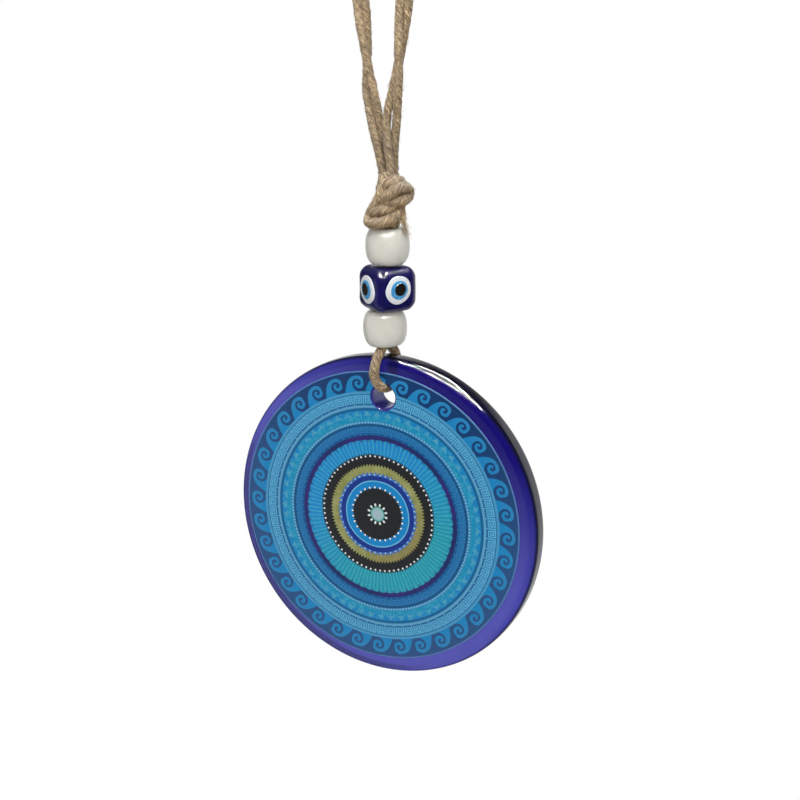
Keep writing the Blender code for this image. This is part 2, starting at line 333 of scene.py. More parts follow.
def add_hair(parts, chance, path, along, frame, radius, lift, tone):
    """One fibre that follows the strand's lay, its free end lifted off by lift tenths of a millimetre."""
    sides, ups, turn = frame
    length = chance.uniform(2.0, 6.0)
    start = chance.uniform(0, max(along[-1] - length, 0.1))
    angle = chance.uniform(0, math.tau)
    drift = chance.uniform(-0.5, 0.5)
    places = np.linspace(start, min(start + length, along[-1]), HAIR_STEPS + 1)
    rows = (places / along[-1] * (len(path) - 1)).round().astype(int)
    line = []
    for step, row in enumerate(rows):
        share = step / HAIR_STEPS
        swing = angle - turn[row] + turn[rows[0]] + drift * share
        out = radius + 0.06 * math.sin(math.pi * share) + 0.1 * lift * share**2.2
        line.append(path[row] + out * (math.cos(swing) * sides[row] + math.sin(swing) * ups[row]))
    add_tube(parts, np.array(line), chance.uniform(0.045, 0.085), tone * chance.uniform(0.5, 1.6))


def add_tube(parts, line, radius, tone):
    """A thin three-sided fibre that narrows to its end."""
    steps = len(line)
    sides, ups = frames_along(line)
    points = []
    for index in range(steps):
        width = radius * (1 - 0.75 * index / (steps - 1))
        for corner in range(3):
            angle = math.tau * corner / 3
            out = math.cos(angle) * sides[index] + math.sin(angle) * ups[index]
            points.append(line[index] + width * out)
    faces = grid_faces(steps, 3, False)
    faces.append((0, 1, 2))
    faces.append(tuple(range(3 * steps - 3, 3 * steps)))
    parts.add(points, faces, [tone] * len(points), [(tone * 40.0, 0.0, 0.0)] * len(points))


def yarn_object(name, parts, finish):
    """The gathered tubes as one piece."""
    return face_outwards(mesh_object(name, parts.points, parts.faces, finish, parts.tone_and_painted_shade, parts.fibre))


# ---------------------------------------------------------------- shader arithmetic


class Field:
    """A number that varies over a surface: an output in a shader's node tree, with arithmetic."""

    def __init__(self, tree, socket):
        self.tree = tree
        self.socket = socket

    def maths(self, operation, *others, clamp=False):
        node = self.tree.nodes.new("ShaderNodeMath")
        node.operation = operation
        node.use_clamp = clamp
        for index, value in enumerate((self, *others)):
            if isinstance(value, Field):
                self.tree.links.new(value.socket, node.inputs[index])
            else:
                node.inputs[index].default_value = value
        return Field(self.tree, node.outputs[0])

    def __add__(self, other):
        return self.maths("ADD", other)

    def __sub__(self, other):
        return self.maths("SUBTRACT", other)

    def __mul__(self, other):
        return self.maths("MULTIPLY", other)

    def __truediv__(self, other):
        return self.maths("DIVIDE", other)

    def power(self, other):
        return self.maths("POWER", other)

    def size(self):
        return self.maths("ABSOLUTE")

    def over(self, edge, soft):
        """1 above the edge and 0 below it, with a soft step."""
        if isinstance(edge, Field):
            return (self - edge).over(0, soft)
        return self.maths("MULTIPLY_ADD", 1 / soft, 0.5 - edge / soft, clamp=True)

    def under(self, edge, soft):
        if isinstance(edge, Field):
            return (self - edge).under(0, soft)
        return self.maths("MULTIPLY_ADD", -1 / soft, 0.5 + edge / soft, clamp=True)

    def both(self, other):
        return self.maths("MINIMUM", other)

    def either(self, other):
        return self.maths("MAXIMUM", other)

    def band(self, low, high, soft):
        return self.over(low, soft).both(self.under(high, soft))

    def near(self, place, half, soft):
        return (self - place).size().under(half, soft)

    def length(self, other):
        return (self * self + other * other).maths("SQRT")


def linear(colour):
    """A colour given as 0 to 255 screen values, as linear light."""
    return tuple(
        value / 255 / 12.92 if value <= 10.3 else ((value / 255 + 0.055) / 1.055) ** 2.4 for value in colour
    )


def link_or_set(tree, socket, value):
    """Gives a socket a node's output, a field, a colour or a number."""
    if hasattr(value, "is_linked"):
        tree.links.new(value, socket)
    elif isinstance(value, Field):
        tree.links.new(value.socket, socket)
    elif isinstance(value, tuple):
        socket.default_value = (*value, 1.0)
    else:
        socket.default_value = value


def mixed(tree, share, first, second):
    """The second colour laid over the first by a share."""
    node = tree.nodes.new("ShaderNodeMix")
    node.data_type = "RGBA"
    link_or_set(tree, node.inputs[0], share)
    link_or_set(tree, node.inputs[6], first)
    link_or_set(tree, node.inputs[7], second)
    return node.outputs[2]


def scaled(tree, colour, gain):
    """A colour times a brightness."""
    node = tree.nodes.new("ShaderNodeVectorMath")
    node.operation = "SCALE"
    tree.links.new(colour, node.inputs[0])
    link_or_set(tree, node.inputs[3], gain)
    return node.outputs[0]


class Finish:
    """A material with a Principled shader, and places on the surface to vary it by."""

    def __init__(self, name, roughness, **settings):
        self.material = bpy.data.materials.new(name)
        self.material.use_nodes = True
        self.tree = self.material.node_tree
        self.shader = self.tree.nodes["Principled BSDF"]
        self.set("Roughness", roughness)
        for key, value in settings.items():
            self.set(key.replace("_", " "), value)
        self.place = self.tree.nodes.new("ShaderNodeTexCoord").outputs["Object"]

    def set(self, name, value):
        link_or_set(self.tree, self.shader.inputs[name], value)

    def mix(self, share, first, second):
        """The second colour over the first by a share; each is screen values or a node's output."""
        paints = [linear(paint) if isinstance(paint, tuple) else paint for paint in (first, second)]
        return mixed(self.tree, share, *paints)

    def coordinates(self):
        """x, y and z in millimetres."""
        split = self.tree.nodes.new("ShaderNodeSeparateXYZ")
        self.tree.links.new(self.place, split.inputs[0])
        return [Field(self.tree, output) * (1 / MM) for output in split.outputs]

    def noise(self, grain_mm, detail=3.0, stretch=(1, 1, 1)):
        """Smooth noise from 0 to 1 with grains of about grain_mm, drawn out along the axes by stretch."""
        mapping = self.tree.nodes.new("ShaderNodeMapping")
        mapping.inputs["Scale"].default_value = [1 / (MM * grain_mm * share) for share in stretch]
        texture = self.tree.nodes.new("ShaderNodeTexNoise")
        texture.inputs["Scale"].default_value = 1.0
        texture.inputs["Detail"].default_value = detail
        self.tree.links.new(self.place, mapping.inputs["Vector"])
        self.tree.links.new(mapping.outputs[0], texture.inputs["Vector"])
        return Field(self.tree, texture.outputs[0])

    def bump(self, height, strength, distance_mm):
        node = self.tree.nodes.new("ShaderNodeBump")
        node.inputs["Strength"].default_value = strength
        node.inputs["Distance"].default_value = distance_mm * MM
        link_or_set(self.tree, node.inputs["Height"], height)
        self.tree.links.new(node.outputs[0], self.shader.inputs["Normal"])


# ---------------------------------------------------------------- the printed mandala

LINE_SOFT = 0.09


class Mandala:
    """The print, laid on ring by ring. Radii are in millimetres from the print's centre, angles in degrees
    clockwise from the top."""

    def __init__(self, finish):
        self.finish = finish
        x, _, z = finish.coordinates()
        self.x = x - PRINT_X
        self.z = z
        wobble = finish.noise(9.0, 1.0) - 0.5
        self.radius = self.x.length(self.z) + wobble * 0.12
        self.angle = self.x.maths("ARCTAN2", self.z) * (180 / math.pi)
        self.colour = (22, 73, 122)

    def lay(self, mask, colour):
        """Paints a colour where the mask is 1."""
        self.colour = self.finish.mix(mask, self.colour, colour)

    def ring(self, low, high, colour, soft=LINE_SOFT):
        self.lay(self.radius.band(low, high, soft), colour)

    def disc(self, edge, colour, soft):
        """Fills the print from its centre out to the edge."""
        self.lay(self.radius.under(edge, soft), colour)

    def cell(self, count, start, ring_radius):
        """How far along the ring a point is from the start of its cell, in millimetres."""
        share = (self.angle * (count / 360) - start * count / 360).maths("FRACT")
        return share * (math.tau * ring_radius / count)

    def dots(self, count, start, ring_radius, dot_radius, colour, soft=0.16):
        half = math.pi * ring_radius / count
        along = self.cell(count, start, ring_radius) - half
        self.lay(along.length(self.radius - ring_radius).under(dot_radius, soft), colour)

    def facing(self, degrees):
        """1 towards a direction from the centre, -1 away from it."""
        turn = math.radians(degrees)
        return (self.x * math.sin(turn) + self.z * math.cos(turn)) / self.radius

    def teeth(self, count, start=0.0):
        """A saw edge from 0 to 1, count times round."""
        return (self.angle * (count / 360) + (start + 180.0)).maths("PINGPONG", 0.5) * 2


def scroll_mask(art):
    """Where the running waves leave the dark ground showing. The waves curl clockwise, 36 of them round."""
    centre = 39.39
    pitch = 6.893
    share = ((art.angle - 0.49) * 0.1 + 0.749).maths("FRACT") - 0.749
    x = share * pitch
    y = art.radius - centre
    reach = x.length(y)
    turn = (x.maths("ARCTAN2", y) * (180 / math.pi)).maths("FLOORED_MODULO", 360.0)
    soft = 0.16
    crest = (turn * (1 / 400)).power(1.8) * -2.064 + 2.064
    flank = x.size().power(2.7) * -0.0688 + 2.07
    behind = x.under(0, 0.01).both(y.over(flank, soft))
    beyond = x.over(0, 0.01).both(reach.over(crest, soft))
    trough = turn * (-1.52 / 180) + (2.554 + 1.52)
    curl = turn.over(180, 0.5).both(reach.over(crest, soft)).both(reach.under(trough, soft))
    inner_edge = (turn * (-0.39 / 150) + 0.39).either(0.0)
    inner_trough = (turn * (1 / 290)).power(2.2) * -1.03 + 1.03
    eye = reach.over(inner_edge, soft).both(reach.under(inner_trough, soft)).both(turn.under(275, 30.0))
    return behind.either(beyond).either(curl).either(eye)


def key_mask(along, up, pitch, height, half):
    """The light lines of one unit of a meander: an upright, then a square spiral. up is from 0 to height."""
    def wide(share):
        return share * pitch

    def tall(share):
        return share * height

    strokes = (
        (0.39, 0.95, 0.39, 0.0),
        (0.78, 0.63, 0.0, 0.32),
        (0.50, 0.32, 0.28, 0.0),
        (0.22, 0.64, 0.0, 0.23),
        (0.40, 0.78, 0.185, 0.0),
        (0.58, 0.65, 0.0, 0.13),
        (0.49, 0.52, 0.085, 0.0),
    )
    mask = along.under(wide(0.0) + half, LINE_SOFT).either(along.over(pitch - half, LINE_SOFT))
    mask = mask.both(up.band(0.0, tall(0.97), LINE_SOFT))
    for across, level, half_wide, half_tall in strokes:
        stroke = along.near(wide(across), wide(half_wide) + half, LINE_SOFT)
        mask = mask.either(stroke.both(up.near(tall(level), tall(half_tall) + half, LINE_SOFT)))
    return mask


def draw_outer_bands(art):
    """Waves, meander and the lines between them."""
    # Painted shade: the dark ground of the waves and meander is painted darker towards the top
    painted_shade_top = art.facing(12).over(0.45, 0.9)
    ground = art.finish.mix(painted_shade_top, (36, 79, 129), (6, 54, 105))
    art.ring(36.5, 43.5, ground)
    crest_tone = art.radius.over(38.6, 4.0)
    wave = art.finish.mix(crest_tone, (6, 128, 190), (34, 130, 186))
    art.ring(36.83, 41.6, wave)
    art.lay(scroll_mask(art).both(art.radius.over(36.9, 0.1)), ground)
    art.ring(42.35, 43.2, (84, 128, 178), 0.2)
    art.ring(30.0, 36.83, (48, 132, 178))
    art.ring(36.15, 36.83, (70, 150, 194), 0.25)
    art.ring(35.85, 36.15, (42, 112, 158), 0.2)
    art.ring(32.83, 33.45, (28, 96, 152), 0.2)
    along = art.cell(72, 2.04, 34.2)
    up = art.radius - 32.5
    art.lay(key_mask(along, up, 2.99, 3.25, 0.13), (98, 176, 214))
    art.ring(32.1, 32.83, (90, 160, 196), 0.22)
    art.ring(31.25, 32.1, (4, 92, 146), 0.3)


def draw_middle_bands(art):
    """Triangles over a mottled turquoise ground, a row of dots, and the small meander."""
    mottle = art.finish.noise(1.3, 3.0)
    ground = art.finish.mix(art.radius.over(29.7, 1.6), (14, 140, 182), (6, 126, 190))
    ground = art.finish.mix(mottle.over(0.56, 0.22) * 0.7, ground, (58, 166, 192))
    art.ring(28.3, 31.3, ground)
    pitch = math.tau * 29.6 / 60
    from_axis = (art.cell(60, 2.1, 29.6) - pitch / 2).size()
    triangle = (art.radius * -0.84 + 31.2 * 0.84 - from_axis).over(0.0, 0.2)
    hatch = (art.angle * 1.5).maths("FRACT").near(0.5, 0.22, 0.2)
    art.lay(triangle.both(art.radius.band(29.8, 31.3, 0.15)) * (hatch * 0.35 + 0.3), (96, 174, 186))
    art.ring(27.45, 28.3, (56, 132, 182), 0.2)
    art.dots(185, 0.0, 27.84, 0.25, (116, 190, 218), 0.2)
    art.ring(26.75, 27.45, (2, 78, 128), 0.25)
    art.ring(24.0, 26.75, (6, 84, 144), 0.2)
    along = art.cell(80, 0.0, 25.4)
    art.lay(key_mask(along, art.radius - 24.2, 1.995, 2.5, 0.09) * 0.8, (48, 146, 204))


def draw_heart_ring(art):
    """The striped turquoise ring inside its indigo border."""
    art.ring(22.3, 24.1, (10, 38, 94), 0.25)
    purple = art.finish.noise(12.0, 1.0).over(0.5, 0.25)
    art.lay(purple.both(art.radius.band(22.6, 23.9, 0.25)) * 0.6, (56, 30, 124))
    lower = art.facing(150).over(0.1, 1.1)
    ground = art.finish.mix(lower, (6, 130, 200), (18, 148, 172))
    stripe = (art.angle * (110 / 360)).maths("FRACT").near(0.5, 0.2, 0.3)
    ragged = art.finish.noise(1.0, 2.0)
    ground = art.finish.mix(stripe * ragged * 0.8, ground, (84, 186, 184))
    edge = art.teeth(63) * -0.2 + 22.85
    art.disc(edge, ground, 0.2)
    tick = (art.angle * (63 / 360)).maths("FRACT").near(0.5, 0.1, 0.16)
    art.lay(tick.both(art.radius.band(22.1, 22.9, 0.2)) * 0.7, (28, 60, 124))


def shift_to_heart(art):
    """Moves the centre for the innermost rings, which sit a little up and left of the others."""
    art.x = art.x + 0.5
    art.z = art.z - 0.85
    wobble = art.finish.noise(6.0, 1.0) - 0.5
    art.radius = art.x.length(art.z) + wobble * 0.5
    art.angle = art.x.maths("ARCTAN2", art.z) * (180 / math.pi)


def draw_heart(art):
    """Black, olive and blue rings with white dots, round the pale eye in the middle."""
    black = (24, 26, 30)
    art.disc(art.teeth(144) * 0.55 + 17.35, black, 0.16)
    art.dots(72, 0.0, 17.06, 0.27, (236, 240, 240))
    olive_tone = art.finish.noise(2.2, 2.0)
    olive = art.finish.mix(olive_tone.over(0.5, 0.35), (130, 136, 70), (156, 158, 102))
    low_right = art.facing(140).over(0.6, 0.6)
    olive = art.finish.mix(low_right * 0.5, olive, (128, 108, 62))
    art.disc(art.teeth(96) * 0.75 + 14.05, olive, 0.16)
    art.disc(art.teeth(60) * 0.8 + 11.75, (44, 104, 182), 0.16)
    art.dots(44, 0.0, 11.75, 0.24, (160, 196, 232))
    art.disc(11.45, (8, 48, 136), 0.2)
    art.disc(10.0, (112, 190, 222), 0.12)
    art.disc(9.7, (4, 130, 196), 0.12)
    art.disc(art.teeth(60) * 0.6 + 7.45, black, 0.16)
    art.dots(30, 0.0, 7.9, 0.28, (236, 242, 242))
    half = math.pi * 2.75 / 12
    along = art.cell(12, 0.0, 2.75) - half
    art.lay((along * 1.5).length(art.radius - 2.72).under(0.46, 0.2), (226, 236, 232))
    art.disc(2.1, (84, 178, 166), 0.25)
    art.disc(1.7, (160, 184, 192), 0.5)


def printed_finish():
    """The print under its gloss lacquer."""
    finish = Finish("mandala_print", 0.3, Coat_Weight=0.4, Coat_Roughness=0.05, Specular_IOR_Level=0.15)
    art = Mandala(finish)
    draw_outer_bands(art)
    draw_middle_bands(art)
    draw_heart_ring(art)
    shift_to_heart(art)
    draw_heart(art)
    grain = finish.noise(0.7, 2.0) * 0.16 + 0.92
    finish.set("Base Color", scaled(finish.tree, art.colour, grain))
    return finish.material


# ---------------------------------------------------------------- other finishes


def cobalt_finish():
    """Deep blue glass, with faint clouds and streaks in it. It is painted darker towards the upper right and
    near black at its outer edge, both painted shade.
    """
    finish = Finish("cobalt_glass_clear", 0.05, Transmission_Weight=0.66, IOR=1.5)
    cloud = finish.noise(8.0, 3.0, (1, 1, 1.6))
    x, _, z = finish.coordinates()
    # Painted shade: the glass is painted a darker blue towards the upper right
    painted_shade_up_right = (x * 0.57 + z * 0.82).over(25.0, 30.0)
    light = finish.mix(cloud, (80, 80, 182), (94, 94, 202))
    body = finish.mix(painted_shade_up_right, light, (24, 14, 124))
    # Painted shade: the outer edge of the glass is painted near black
    edge = (x - DISC_X).length((z - DISC_Z) * (1 / DISC_TALL)).over(45.9, 0.6)
    finish.set("Base Color", finish.mix(edge, body, (12, 14, 40)))
    return finish.material


def cube_finish():
    """Cobalt glass that is nearly opaque, a little mottled under a fired gloss."""
    finish = Finish("cobalt_glass_opaque", 0.3, Coat_Weight=0.6, Coat_Roughness=0.07, Specular_IOR_Level=0.1)
    cloud = finish.noise(2.2, 3.0).over(0.5, 0.5)
    finish.set("Base Color", finish.mix(cloud, (12, 10, 66), (22, 18, 94)))
    finish.bump(finish.noise(3.0, 1.0), 0.1, 0.3)
    return finish.material


def glaze_finish():
    """White glazed ceramic, faintly uneven and greyer where the glaze has pooled."""
    finish = Finish("white_glazed", 0.3, Coat_Weight=0.8, Coat_Roughness=0.08, Specular_IOR_Level=0.1)
    finish.set("Subsurface Weight", 0.08)
    finish.shader.inputs["Subsurface Radius"].default_value = (0.002, 0.0016, 0.0012)
    cloud = finish.noise(3.0, 3.0).over(0.5, 0.6)
    finish.set("Base Color", finish.mix(cloud, (212, 210, 199), (223, 221, 211)))
    finish.bump(finish.noise(2.6, 1.0), 0.05, 0.25)
    return finish.material


def eye_finish(name, dark, light):
    """One colour of lampwork glass, streaked a little where it was drawn."""
    finish = Finish(name, 0.14, Coat_Weight=0.8, Coat_Roughness=0.03)
    cloud = finish.noise(0.9, 2.0).over(0.5, 0.5)
    finish.set("Base Color", finish.mix(cloud, dark, light))
    return finish.material


def jute_finish():
    """Natural jute: fibres of several browns that follow the lay, over the brightness laid on the mesh, which
    holds painted shade.
    """
    finish = Finish("natural_jute", 0.85, Sheen_Weight=0.12)
    tree = finish.tree
    # The mesh's brightness carries the strands' own tone and their painted shade
    attribute = tree.nodes.new("ShaderNodeAttribute")
    attribute.attribute_name = "tone_and_painted_shade"
    tone = Field(tree, attribute.outputs["Fac"])
    lay = tree.nodes.new("ShaderNodeAttribute")
    lay.attribute_name = "fibre"
    grains = []
    for scale, detail in ((0.9, 2.0), (2.4, 3.0)):
        texture = tree.nodes.new("ShaderNodeTexNoise")
        texture.inputs["Scale"].default_value = scale
        texture.inputs["Detail"].default_value = detail
        tree.links.new(lay.outputs["Vector"], texture.inputs["Vector"])
        grains.append(Field(tree, texture.outputs[0]))
    broad, fine = grains
    colour = finish.mix(broad.over(0.5, 0.34), (134, 99, 60), (192, 161, 112))
    colour = finish.mix(fine.over(0.56, 0.2) * 0.85, colour, (236, 213, 166))
    colour = finish.mix(fine.under(0.45, 0.16) * 0.85, colour, (80, 50, 26))
    speckle = finish.noise(0.4, 2.0) * 1.7 + 0.15
    finish.set("Base Color", scaled(tree, colour, tone * speckle))
    finish.bump(fine, 0.6, 0.25)
    return finish.material


# ---------------------------------------------------------------- pieces


def quarter_round(centre_radius, y, round_radius, start, end, steps):
    """Section points of an arc, its angles in degrees from the outward direction towards the back."""
    angles = np.radians(np.linspace(start, end, steps))
    return [(centre_radius + round_radius * math.cos(a), y + round_radius * math.sin(a)) for a in angles]


def make_glass_disc(finish):
    """The disc: its front edge rounds over slowly, its back edge more tightly, the hole has soft lips."""
    outer = []
    for share in np.linspace(0, 1, 22):
        radius = RIM_START - 0.4 + (DISC_RADIUS - RIM_START + 0.4) * math.sin(share * math.pi / 2)
        outer.append((radius, -GLASS_FRONT + float(glass_drop(radius))))
    outer += quarter_round(DISC_RADIUS - BACK_ROUND, -BACK_ROUND, BACK_ROUND, 0, 90, 10)
    outer.append((DISC_RADIUS - BACK_ROUND - 0.1, 0.0))
    hole = [(HOLE_RADIUS + BACK_LIP + 0.06, 0.0)]
    for angle in np.radians(np.linspace(90, 0, 6)):
        back = BACK_LIP * math.sin(angle) - BACK_LIP
        hole.append((HOLE_RADIUS + BACK_LIP * (1 - math.cos(angle)), back))
    for angle in np.radians(np.linspace(0, 90, 7)):
        front = FRONT_LIP - FRONT_LIP * math.sin(angle) - GLASS_FRONT
        hole.append((HOLE_RADIUS + FRONT_LIP * (1 - math.cos(angle)), front))
    hole.append((HOLE_RADIUS + FRONT_LIP + 0.06, -GLASS_FRONT))
    disc = pierced_disc("glass_disc_cobalt", (DISC_X, DISC_Z), DISC_TALL, outer, hole, finish)
    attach(disc, "disc")
    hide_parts("glass_disc")


def make_print(finish):
    """The printed film: it follows the glass down at its edge and softens over the lip of the hole."""
    def on_glass(lift):
        return lambda reach: -GLASS_FRONT - lift + glass_drop(reach)

    front = FILM_GAP + FILM_THICKNESS
    outer = [(PRINT_RADIUS - inset, on_glass(front)) for inset in (2.6, 2.0, 1.5, 1.0, 0.6, 0.3, 0.14)]
    outer += [(PRINT_RADIUS - 0.04, on_glass(front - 0.04)), (PRINT_RADIUS, on_glass(front - 0.12))]
    outer += [(PRINT_RADIUS - 0.02, on_glass(FILM_GAP))]
    outer += [(PRINT_RADIUS - inset, on_glass(FILM_GAP)) for inset in (0.6, 1.0, 1.5, 2.0, 2.6)]
    hole = [(FILM_HOLE + 0.3, -GLASS_FRONT - FILM_GAP), (FILM_HOLE, -GLASS_FRONT - FILM_GAP)]
    hole += [(FILM_HOLE, -GLASS_FRONT - front + 0.1), (FILM_HOLE + 0.06, -GLASS_FRONT - front + 0.02)]
    hole += [(FILM_HOLE + 0.16, -GLASS_FRONT - front), (FILM_HOLE + 0.3, -GLASS_FRONT - front)]
    film = pierced_disc("printed_mandala", (PRINT_X, 0.0), 1.0, outer, hole, finish)
    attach(film, "disc")
    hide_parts("printed_face")


def bead_outline():
    """Half section of a barrel bead with eased ends round its bore."""
    half = BEAD_LENGTH / 2
    outline = []
    for step in range(49):
        up = math.cos(math.pi * (0.02 + 0.96 * step / 48))
        shoulder = (1 - abs(up) ** BEAD_POWER) ** (1 / BEAD_POWER)
        outline.append((BEAD_END + (BEAD_RADIUS - BEAD_END) * shoulder, half + half * up))
    low_radius = outline[-1][0]
    ease = (
        (low_radius - 0.25, 0.02),
        (low_radius - 0.5, 0.0),
        (BEAD_BORE + 0.35, 0.0),
        (BEAD_BORE + 0.1, 0.1),
    )
    outline += ease
    outline.append((BEAD_BORE, 0.4))
    outline.append((BEAD_BORE, BEAD_LENGTH - 0.4))
    outline += [(radius, BEAD_LENGTH - height) for radius, height in reversed(ease)]
    return outline


def make_white_bead(name, node, height, seed, finish, lean=0.0, shift=0.0):
    """A white bead, pressed slightly out of round; it may lean and sit off the cord's axis."""
    points, faces = turned(bead_outline(), 96)
    for index, (x, y, z) in enumerate(points):
        swell = 1 + 0.012 * noise.noise(Vector((x * 0.16 + seed, y * 0.16, z * 0.16)))
        if math.hypot(x, y) > BEAD_BORE + 0.5:
            points[index] = (x * swell, y * swell, z)
    upright = BEAD_LENGTH / 2
    across, up = points[:, 0].copy(), points[:, 2] - upright
    points[:, 0] = across * math.cos(lean) - up * math.sin(lean) + shift
    points[:, 2] = across * math.sin(lean) + up * math.cos(lean) + upright
    points += (0, CORD_Y, height)
    bead = face_outwards(mesh_object(name, points, faces, finish))
    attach(bead, node)
    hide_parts(node)


def make_cube_bead(finish):
    """A pressed glass cube: rounded edges, slightly full sides and an upright bore."""
    bm = bmesh.new()
    bmesh.ops.create_cube(bm, size=2)
    bmesh.ops.subdivide_edges(bm, edges=bm.edges, cuts=31, use_grid_fill=True)
    half = Vector((CUBE_HALF, CUBE_HALF, CUBE_HALF_HEIGHT))
    for vert in bm.verts:
        u, v, w = vert.co
        place = Vector((u * half.x, v * half.y, w * half.z))
        inner = Vector([max(-half[i] + CUBE_ROUND, min(half[i] - CUBE_ROUND, place[i])) for i in range(3)])
        out = place - inner
        place = inner + CUBE_ROUND * out.normalized()
        fullness = 0.10 * (1 - u**2) + 0.10 * (1 - v**2) + 0.10 * (1 - w**2)
        uneven = 0.12 * noise.noise(place * 0.22)
        place += (fullness + uneven - 0.12) * out.normalized()
        vert.co = place * MM
    mesh = bpy.data.meshes.new("cube_bead_cobalt")
    bm.to_mesh(mesh)
    bm.free()
    mesh.shade_smooth()
    cube = linked("cube_bead_cobalt", mesh)
    mesh.materials.append(finish)
    bore_in(cube)
    cube.rotation_euler.z = CUBE_TURN
    cube.location = (CUBE_X * MM, CORD_Y * MM, CUBE_Z * MM)
    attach(cube, "cube_bead")
    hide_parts("cube_bead")


def bore_in(obj):
    """Cuts the upright bore, and keeps the result as the object's own mesh."""
    bm = bmesh.new()
    radius = BEAD_BORE * MM
    depth = 4 * CUBE_HALF * MM
    bmesh.ops.create_cone(bm, cap_ends=True, segments=40, radius1=radius, radius2=radius, depth=depth)
    mesh = bpy.data.meshes.new("bore")
    bm.to_mesh(mesh)
    bm.free()
    cutter = linked("bore", mesh)
    modifier = obj.modifiers.new("bore", "BOOLEAN")
    modifier.operation = "DIFFERENCE"
    modifier.solver = "EXACT"
    modifier.object = cutter
    depsgraph = bpy.context.evaluated_depsgraph_get()
    drilled = bpy.data.meshes.new_from_object(obj.evaluated_get(depsgraph))
    obj.modifiers.clear()
    obj.data = drilled
    bpy.data.objects.remove(cutter)


EYE_LAYERS = (
    # name, radius, height of the dome and how far its edge is from the cube's middle
    ("white", 3.92, 0.42, 6.53),
    ("iris", 2.65, 0.24, 6.83),
    ("pupil", 1.75, 0.2, 7.03),
)

# How far the back of each drop lies below its edge, inside what is under it
EYE_SUNK = 0.25

EYES = (
    # side, quarter turn, then how far the white, the iris and the pupil sit off the middle of the side
    ("front", 0, (-0.3, 0.4), (-0.18, 0.45), (0.08, 0.6)),
    ("right", 1, (0.0, 0.0), (-0.1, 0.05), (0.1, -0.2)),
    ("back", 2, (0.0, 0.0), (0.08, -0.1), (-0.2, 0.12)),
    ("left", 3, (0.4, 0.1), (0.22, 0.1), (-0.1, 0.15)),
)


def make_eye_dot(side, layer, turn, radius, thickness, out, shift, finish):
    """A drop of glass pressed on a side of the cube: a low dome, not quite round."""
    rows = 9
    segments = 64
    points = []
    for row in range(rows):
        angle = math.pi / 2 * row / (rows - 1)
        for step in range(segments):
            around = math.tau * step / segments
            uneven = 1 + 0.018 * math.sin(2 * around + turn) + 0.01 * math.sin(5 * around + 2 * turn + radius)
            reach = radius * uneven * math.sin(max(angle, 0.03)) ** 0.72
            depth = -out - thickness * math.cos(angle) ** 0.8
            points.append((shift[0] + reach * math.cos(around), depth, shift[1] + reach * math.sin(around)))
    base = len(points)
    for step in range(segments):
        x, _, z = points[base - segments + step]
        points.append((x, EYE_SUNK - out, z))
    faces = grid_faces(rows + 1, segments, False)
    faces.append(tuple(range(segments)))
    faces.append(tuple(range(rows * segments, (rows + 1) * segments)))
    name = f"eye_{layer}_{side}_drop"
    dot = face_outwards(mesh_object(name, points, faces, finish))
    dot.rotation_euler.z = CUBE_TURN + turn * math.pi / 2
    dot.location = (CUBE_X * MM, CORD_Y * MM, CUBE_Z * MM)
    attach(dot, "cube_bead")
    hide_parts(f"eye_{layer}_{side}")


def make_eyes(finishes):
    """A white, an iris and a pupil on each side of the cube."""
    for side, turn, *shifts in EYES:
        for (layer, radius, thickness, out), shift in zip(EYE_LAYERS, shifts):
            make_eye_dot(side, layer, turn, radius, thickness, out, shift, finishes[layer])


# ---------------------------------------------------------------- cord pieces


def leg_centre(height, side):
    """The middle of one leg of the loop; the legs spread upwards and lean a little to the left."""
    share = (height - LOOP_BOTTOM) / (CROWN_Z - LOOP_BOTTOM)
    spread = math.sin(max(share, 0) * math.pi / 2) ** 1.2
    half_gap = LEG_HALF_GAP + (CROWN_RADIUS - LEG_HALF_GAP) * spread
    sway = LEG_SWAY[side] * math.exp(-(((height - LEG_SWAY_Z[side]) / LEG_SWAY_REACH) ** 2))
    bend = LEG_LEAN * math.sin(share * math.pi) + sway
    return np.array((side * half_gap - bend, CORD_Y, height))


def strand_offset(height, parting):
    """From the middle of a leg to its first strand. The strands make one full turn on the way up, and come
    slightly apart near the height of their parting."""
    share = min(max((height - TWIST_BOTTOM) / (TWIST_TOP - TWIST_BOTTOM), 0), 1)
    angle = math.radians(-90 - 360 * share)
    apart = PARTING * math.exp(-(((height - parting) / PARTING_REACH) ** 2))
    return (PAIR_HALF + apart) * np.array((math.cos(angle), math.sin(angle), 0))


def loop_path(strand):
    """Up the left leg, over the crown and down the right leg, for strand 1 or -1."""
    heights = np.linspace(LOOP_BOTTOM - 2.2, CROWN_Z, 60)[:-1]
    path = [leg_centre(height, -1) + strand * strand_offset(height, PARTING_Z[-1]) for height in heights]
    for angle in np.linspace(math.pi, 0, 20):
        over = CROWN_RADIUS * np.array((math.cos(angle), 0, math.sin(angle)))
        path.append(np.array((0, CORD_Y, CROWN_Z)) + over + strand * strand_offset(CROWN_Z, LOOP_BOTTOM))
    heights = heights[::-1]
    path += [leg_centre(height, 1) + strand * strand_offset(height, PARTING_Z[1]) for height in heights]
    return path


